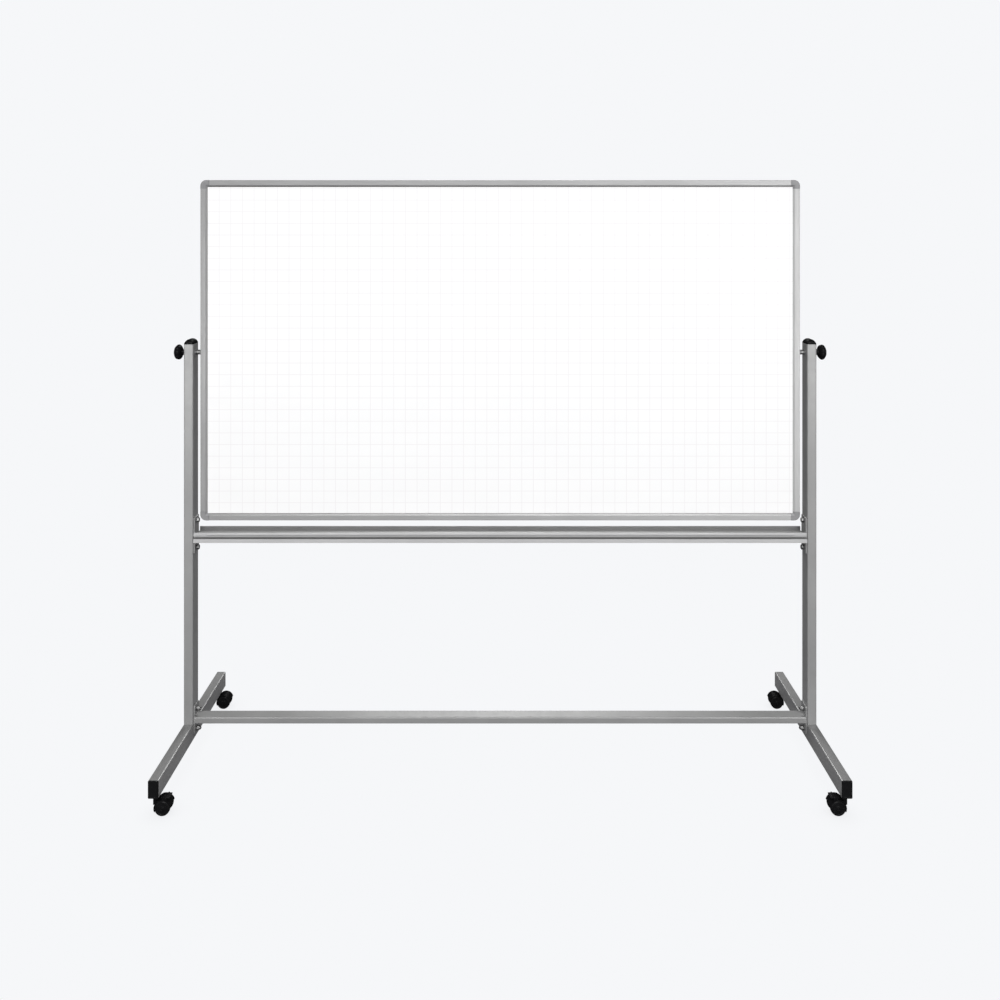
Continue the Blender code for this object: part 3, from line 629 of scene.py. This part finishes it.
def add_foot_caps():
    """An end plate with a rolled edge and a shallow sunk panel, on a plug."""
    for end, side in PLACES:
        node = f"foot_cap_{end}_{side}"
        low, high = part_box(node)
        width, height = high.x - low.x, high.z - low.z
        plug_start, face = sorted((abs(low.y), abs(high.y)))
        plug_inset = TUBE_CLEARANCE / 2
        levels = (
            (plug_inset + 0.0004, plug_start), (plug_inset, plug_start + 0.001),
            (plug_inset, face - 0.003), (0.0, face - 0.003), (0.0, face - 0.0020),
            (0.0002, face - 0.0013), (0.0007, face - 0.0006), (0.0013, face - 0.0002),
            (0.0020, face), (0.0042, face), (0.0047, face - 0.0002), (0.0052, face - 0.0007),
        )
        bm = bmesh.new()
        rings = []
        for inset, along in levels:
            corner = max(0.0030 - inset, 0.0010)
            outline = rounded_rectangle(width - 2 * inset, height - 2 * inset, corner)
            rings.append(ring(outline, "Y", ENDS[end] * along))
        loft(bm, rings)
        mesh = finished_mesh(f"{node}_mesh", bm, ("black_plastic",))
        centre = ((low.x + high.x) / 2, 0, (low.z + high.z) / 2)
        add_piece(f"end_plate_{end}_{side}", mesh, node, placed(centre))


# ---------------------------------------------------------------- fasteners

def bolt_mesh(name, head_end=None):
    """A bolt that points along +X from its washer's seat at x = 0.

    Its plain hexagon head ends at -head_end. Without one, a domed nut covers the bolt's end."""
    segments = 72
    washer_radius, washer = 0.0080, 0.0016
    half_width = 0.0065
    corner = half_width / math.cos(math.pi / 6)

    def flats(cut, along):
        return ring(hexagon(half_width, segments, corner - cut), "X", along)

    bm = bmesh.new()
    shank = [(0.0030, 0.0005), (0.0030, 0.0130), (0.0024, 0.0140)]
    turned(bm, shank, "X", 24)
    turned(bm, [
        (0.0040, 0.0), (washer_radius - 0.0003, 0.0), (washer_radius, -0.0003),
        (washer_radius, 0.0003 - washer), (washer_radius - 0.0004, -washer), (0.0040, -washer),
    ], "X", 48)
    if head_end is None:
        collar = -(washer + 0.0062)
        dome_radius = half_width - 0.0006
        head = [
            flats(0.0003, -washer), flats(0.0, -washer - 0.0006),
            flats(0.0, collar + 0.0008), flats(0.0007, collar),
        ]
        for step in range(11):
            lean = math.radians(82) * step / 10
            outline = circle(dome_radius * math.cos(lean), segments)
            head.append(ring(outline, "X", collar - 0.0061 * math.sin(lean)))
    else:
        head = [
            flats(0.0, -washer), flats(0.0, 0.0010 - head_end), flats(0.0004, 0.0005 - head_end),
            ring(circle(half_width - 0.0002, segments), "X", -head_end),
            ring(circle(half_width - 0.0012, segments), "X", 0.0002 - head_end),
        ]
    loft(bm, head)
    return finished_mesh(name, bm, ("zinc",), 28)


def add_bolts():
    low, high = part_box("tray_bolt_upper_right")
    seat = high.x - 0.014
    plain = bolt_mesh("hex_bolt", seat - low.x)
    domed = bolt_mesh("domed_nut")
    for owner, mesh, word in (("tray", plain, "hex_bolt"), ("crossbar", domed, "domed_nut")):
        for level in ("lower", "upper"):
            for side, sign in SIDES.items():
                node = f"{owner}_bolt_{level}_{side}"
                low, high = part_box(node)
                centre = (sign * seat, 0, (low.z + high.z) / 2)
                matrix = placed(centre, 0.0 if sign > 0 else math.pi)
                add_piece(f"{word}_{owner}_{level}_{side}", mesh, node, matrix)


# ---------------------------------------------------------------- casters

FOOT_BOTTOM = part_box("foot_left")[0].z
wheel_low, wheel_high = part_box("caster_wheel_front_left_front")
WHEEL_RADIUS = (wheel_high.z - wheel_low.z) / 2
TRAIL = 0.0205
AXLE_DROP = FOOT_BOTTOM - WHEEL_RADIUS
HOOD_RADIUS = 0.0234
HOOD_THICKNESS = 0.0016
MOULDED_EDGE = 0.0003

# The pedal turns on two ears, at this distance from the axle and this angle above it
PEDAL_REACH = 0.0260
PEDAL_ANGLE = math.radians(71)
PEDAL_PIVOT = (
    TRAIL + PEDAL_REACH * math.cos(PEDAL_ANGLE), PEDAL_REACH * math.sin(PEDAL_ANGLE) - AXLE_DROP,
)


def wheel_mesh():
    """One wheel of a twin pair, drawn with its outer face towards +Y and its axis on the origin."""
    segments = 90
    spokes = 5
    inner, outer = 0.0060, 0.0200
    radius = WHEEL_RADIUS
    bore = 0.0033
    crown = 0.0013
    rib_height = 0.0013
    bm = bmesh.new()

    def plain(reach, along):
        return ring(circle(reach, segments), "Y", along)

    def spoked(reach, share):
        """A ring in the dished side, which rises to each spoke."""
        points = []
        for step in range(segments):
            turn = 2 * math.pi * step / segments
            near_spoke = max(0.0, 1 - abs(((turn * spokes / (2 * math.pi)) % 1) - 0.5) * 9)
            sink = rib_height * share * (1 - min(1.0, near_spoke * 1.8))
            along = outer - 0.0004 - sink
            points.append(Vector((reach * math.cos(turn), along, reach * math.sin(turn))))
        return points

    tread = [plain(bore, inner), plain(0.0080, inner), plain(radius - 0.0018, inner)]
    for step in range(9):
        share = step / 8
        lean = math.radians(-70 + 140 * share)
        along = inner + 0.0012 + (outer - inner - 0.0034) * share
        tread.append(plain(radius - crown + crown * math.cos(lean), along))
    rim = [plain(radius - inset, outer - drop) for inset, drop in (
        (0.0022, 0.0010), (0.0026, 0.0014), (0.0030, 0.0010),
        (0.0035, 0.0002), (0.0045, 0.0), (0.0054, 0.0002),
    )]
    dish = [spoked(reach, share) for reach, share in (
        (0.0148, 0.3), (0.0140, 1.0), (0.0110, 1.0), (0.0080, 1.0), (0.0072, 0.3),
    )]
    hub = [plain(reach, outer - drop) for reach, drop in (
        (0.0064, 0.0001), (0.0058, 0.0), (bore + 0.0005, 0.0), (bore, 0.0004),
    )]
    loft(bm, tread + rim + dish + hub, closed=True)
    for face in bm.faces:
        reach = math.hypot(face.calc_center_median().x, face.calc_center_median().z)
        face.material_index = 0 if reach > radius - 0.0028 else 1
    return finished_mesh("twin_wheel", bm, ("tread", "black_plastic"), 32)


def temporary(bm, name):
    bmesh.ops.recalc_face_normals(bm, faces=bm.faces)
    mesh = bpy.data.meshes.new(name)
    bm.to_mesh(mesh)
    bm.free()
    thing = bpy.data.objects.new(name, mesh)
    bpy.context.scene.collection.objects.link(thing)
    return thing


def joined(base, parts, bore):
    """Adds the parts to the base and cuts the bore, with exact Booleans, and returns the mesh."""
    target = temporary(base, "housing_base")
    operands = []
    for shape in parts + [bore]:
        operand = temporary(shape, "operand")
        modifier = target.modifiers.new("join", "BOOLEAN")
        modifier.operation = "DIFFERENCE" if shape is bore else "UNION"
        modifier.solver = "EXACT"
        modifier.object = operand
        operands.append(operand)
    bpy.context.view_layer.update()
    evaluated = target.evaluated_get(bpy.context.evaluated_depsgraph_get())
    mesh = bpy.data.meshes.new_from_object(evaluated)
    for thing in operands + [target]:
        bpy.data.objects.remove(thing, do_unlink=True)
    return mesh


def housing_mesh(braked):
    """A twin-wheel caster body about its swivel axis, trailing towards +X."""
    axle = (TRAIL, -AXLE_DROP)
    start, end = math.radians(15), math.radians(205)
    reach = HOOD_RADIUS - HOOD_THICKNESS / 2
    half_width = 0.0175

    hood = bmesh.new()
    outer = arc(axle, HOOD_RADIUS, start, end, 56)
    inner = arc(axle, HOOD_RADIUS - HOOD_THICKNESS, end, start, 56)
    prism(hood, outer + inner, "Y", -half_width, half_width)

    web = bmesh.new()
    web_start, web_end = start + math.radians(3), end - math.radians(3)
    outline = arc(axle, reach, web_start, web_end, 40)
    outline += arc(axle, 0.016, web_end, web_start + 2 * math.pi, 24)
    prism(web, outline, "Y", -0.0055, 0.0055)

    column = bmesh.new()
    box(column, (-0.0083, -0.0053, -0.0300), (0.0060, 0.0053, -0.0040))
    socket = bmesh.new()
    turned(socket, [
        (0.0080, -0.0155), (0.0095, -0.0140), (0.0095, -0.0030), (0.0092, -0.0021), (0.0084, -0.0018),
    ], "Z", 48)
    axle_rod = bmesh.new()
    rod_profile = [(0.0024, -0.0194), (0.0030, -0.0188), (0.0030, 0.0188), (0.0024, 0.0194)]
    turned(axle_rod, rod_profile, "Y", 32, axle)
    parts = [web, column, socket, axle_rod]
    if braked:
        ears = bmesh.new()
        spread = math.radians(12)
        base = arc(axle, reach, PEDAL_ANGLE - spread, PEDAL_ANGLE + spread, 6)
        top = arc(PEDAL_PIVOT, 0.0024, math.radians(175), math.radians(-15), 14)
        for sign in ENDS.values():
            prism(ears, base + top, "Y", sign * 0.0123, sign * 0.0145)
        parts.append(ears)
    bore = bmesh.new()
    turned(bore, [(0.0053, -0.0130), (0.0053, 0.01)], "Z", 32)
    mesh = joined(hood, parts, bore)
    mesh.materials.clear()
    mesh.materials.append(LOOKS["black_plastic"])
    mesh.shade_smooth()
    mesh.set_sharp_from_angle(angle=math.radians(30))
    return mesh


def pedal_mesh():
    """A rocking brake plate with grip ribs near its tip."""
    bm = bmesh.new()
    boss = arc((0, 0), 0.0021, math.radians(205), math.radians(335), 14)
    tip = [(0.0096, -0.0014), (0.0103, -0.0006), (0.0101, 0.0018)]
    ribs = []
    for step in range(4):
        x = 0.0096 - 0.0016 * step
        ribs += [(x, 0.0021), (x - 0.0004, 0.0022), (x - 0.0008, 0.0021), (x - 0.0010, 0.0017)]
    tail = [(0.0, 0.0022), (-0.0140, 0.0017), (-0.0155, 0.0008), (-0.0155, -0.0006)]
    prism(bm, boss + tip + ribs + tail, "Y", -0.0120, 0.0120)
    return finished_mesh("brake_plate", bm, ("black_plastic",), 30)


def stem_mesh():
    bm = bmesh.new()
    turned(bm, [
        (0.0040, -0.0125), (0.0048, -0.0117), (0.0048, -0.0015), (0.0076, -0.0015), (0.0080, -0.0012),
        (0.0080, -0.0006), (0.0077, -GAP), (0.0048, -GAP), (0.0048, 0.0290), (0.0038, 0.0300),
    ], "Z", 40)
    return finished_mesh("stem", bm, ("zinc",), 30)


def add_casters():
    wheel = wheel_mesh()
    stem = stem_mesh()
    pedal = pedal_mesh()
    housings = {True: housing_mesh(True), False: housing_mesh(False)}
    pedal_offset = Matrix.Translation((PEDAL_PIVOT[0], 0, PEDAL_PIVOT[1]))
    for end, side in PLACES:
        place = f"{end}_{side}"
        low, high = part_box(f"caster_stem_{place}")
        origin = Vector(((low.x + high.x) / 2, (low.y + high.y) / 2, FOOT_BOTTOM))
        swivel = placed(origin, CASTER_TURN[side])
        braked = end == "front"
        node = f"caster_housing_{place}"
        body = add_piece(f"hooded_housing_{place}", housings[braked], node, swivel)
        add_bevel(body, MOULDED_EDGE, 40, harden=True)
        add_piece(f"swivel_stem_{place}", stem, f"caster_stem_{place}", swivel)
        for wheel_end in ENDS:
            node = f"caster_wheel_{place}_{wheel_end}"
            low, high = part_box(node)
            to_the_rear = (low.y + high.y) / 2 > origin.y
            hub = Vector(((low.x + high.x) / 2, origin.y, (low.z + high.z) / 2))
            matrix = placed(hub, 0.0 if to_the_rear else math.pi)
            add_piece(f"twin_wheel_{place}_{wheel_end}", wheel, node, matrix)
        if braked:
            node = f"brake_pedal_{place}"
            matrix = swivel @ pedal_offset
            plate = add_piece(f"brake_plate_{place}", pedal, node, matrix)
            add_bevel(plate, MOULDED_EDGE, 40, harden=True)


# ---------------------------------------------------------------- stage

def add_floor():
    """A wide pale floor, seen by the camera as an even glow, with a faint painted contact shadow where
    the object touches it.
    """
    mesh = bpy.data.meshes.new("floor")
    reach = 60.0
    corners = [(-reach, -reach, 0), (reach, -reach, 0), (reach, reach, 0), (-reach, reach, 0)]
    mesh.from_pydata(corners, [], [(0, 1, 2, 3)])
    floor = bpy.data.objects.new("floor", mesh)
    bpy.context.scene.collection.objects.link(floor)
    material = bpy.data.materials.new("pale_floor")
    material.use_nodes = True
    nodes, links = material.node_tree.nodes, material.node_tree.links
    nodes.clear()
    output = nodes.new("ShaderNodeOutputMaterial")
    # Painted shadow: ambient occlusion dims the floor's glow near the object's feet and casters.
    shade = nodes.new("ShaderNodeAmbientOcclusion")
    shade.samples = 8
    shade.inputs["Distance"].default_value = 0.06
    soften = nodes.new("ShaderNodeMapRange")
    soften.inputs["To Min"].default_value = 0.88
    glow = nodes.new("ShaderNodeEmission")
    glow.inputs["Color"].default_value = BACKDROP
    matt = nodes.new("ShaderNodeBsdfDiffuse")
    matt.inputs["Color"].default_value = (0.26, 0.26, 0.27, 1.0)
    path = nodes.new("ShaderNodeLightPath")
    choose = nodes.new("ShaderNodeMixShader")
    links.new(shade.outputs["AO"], soften.inputs["Value"])
    links.new(soften.outputs["Result"], glow.inputs["Strength"])
    links.new(path.outputs["Is Camera Ray"], choose.inputs["Fac"])
    links.new(matt.outputs["BSDF"], choose.inputs[1])
    links.new(glow.outputs["Emission"], choose.inputs[2])
    links.new(choose.outputs["Shader"], output.inputs["Surface"])
    mesh.materials.append(material)


def add_world():
    """A pale backdrop, with a dimmer soft ambient light for the object."""
    world = bpy.data.worlds.new("studio")
    bpy.context.scene.world = world
    world.use_nodes = True
    nodes, links = world.node_tree.nodes, world.node_tree.links
    nodes.clear()
    output = nodes.new("ShaderNodeOutputWorld")
    backdrop = nodes.new("ShaderNodeBackground")
    backdrop.inputs["Color"].default_value = BACKDROP
    ambient = nodes.new("ShaderNodeBackground")
    ambient.inputs["Color"].default_value = (1.0, 1.0, 1.0, 1.0)
    ambient.inputs["Strength"].default_value = 0.10
    path = nodes.new("ShaderNodeLightPath")
    choose = nodes.new("ShaderNodeMixShader")
    links.new(path.outputs["Is Camera Ray"], choose.inputs["Fac"])
    links.new(ambient.outputs["Background"], choose.inputs[1])
    links.new(backdrop.outputs["Background"], choose.inputs[2])
    links.new(choose.outputs["Shader"], output.inputs["Surface"])


def add_light(name, place, target, size, power):
    """A rectangular light of a size in metres and a power in watts, which the camera can't see."""
    data = bpy.data.lights.new(name, "AREA")
    data.shape = "RECTANGLE"
    data.size, data.size_y = size
    data.energy = power
    light = bpy.data.objects.new(name, data)
    bpy.context.scene.collection.objects.link(light)
    light.location = place
    light.rotation_euler = (Vector(target) - Vector(place)).to_track_quat("-Z", "Y").to_euler()
    light.visible_camera = False


def add_lights():
    add_light("front_bank", (0.0, -9.6, 9.6), (0.0, 0.0, 1.1), (9.0, 3.6), 1425)
    add_light("key_right", (2.4, -4.6, 1.1), (0.6, 0.0, 1.2), (1.3, 2.0), 62)
    add_light("low_left", (-2.6, -4.6, 0.75), (-0.6, 0.0, 1.1), (1.2, 1.0), 50)
    add_light("low_front", (0.0, -5.2, 0.8), (0.0, 0.0, 0.8), (3.2, 0.9), 38)
    add_light("overhead", (0.0, 0.1, 3.6), (0.0, 0.0, 0.0), (2.4, 1.0), 2)
    add_light("rear_fill", (0.0, 4.4, 4.3), (0.0, 0.0, 1.0), (2.2, 1.6), 160)
    for word, side in SIDES.items():
        add_light(f"side_{word}", (side * 4.5, 0.3, 1.6), (0.0, 0.0, 1.0), (1.5, 1.5), 12)


def add_camera():
    data = bpy.data.cameras.new("camera")
    data.lens = CAMERA_LENS
    data.sensor_width = 36.0
    data.shift_x, data.shift_y = CAMERA_SHIFT
    data.clip_end = 200.0
    camera = bpy.data.objects.new("camera", data)
    bpy.context.scene.collection.objects.link(camera)
    camera.location = CAMERA_PLACE
    camera.rotation_euler = (math.pi / 2, 0.0, 0.0)
    bpy.context.scene.camera = camera


def set_colours():
    view = bpy.context.scene.view_settings
    view.view_transform = "Standard"
    view.look = "None"
    view.exposure = 0.0
    view.gamma = 1.0


dress_cad_nodes()
add_knobs()
add_pivot_rings()
add_post_caps()
add_foot_caps()
add_bolts()
add_casters()
add_floor()
add_world()
add_lights()
add_camera()
set_colours()

bpy.context.view_layer.update()
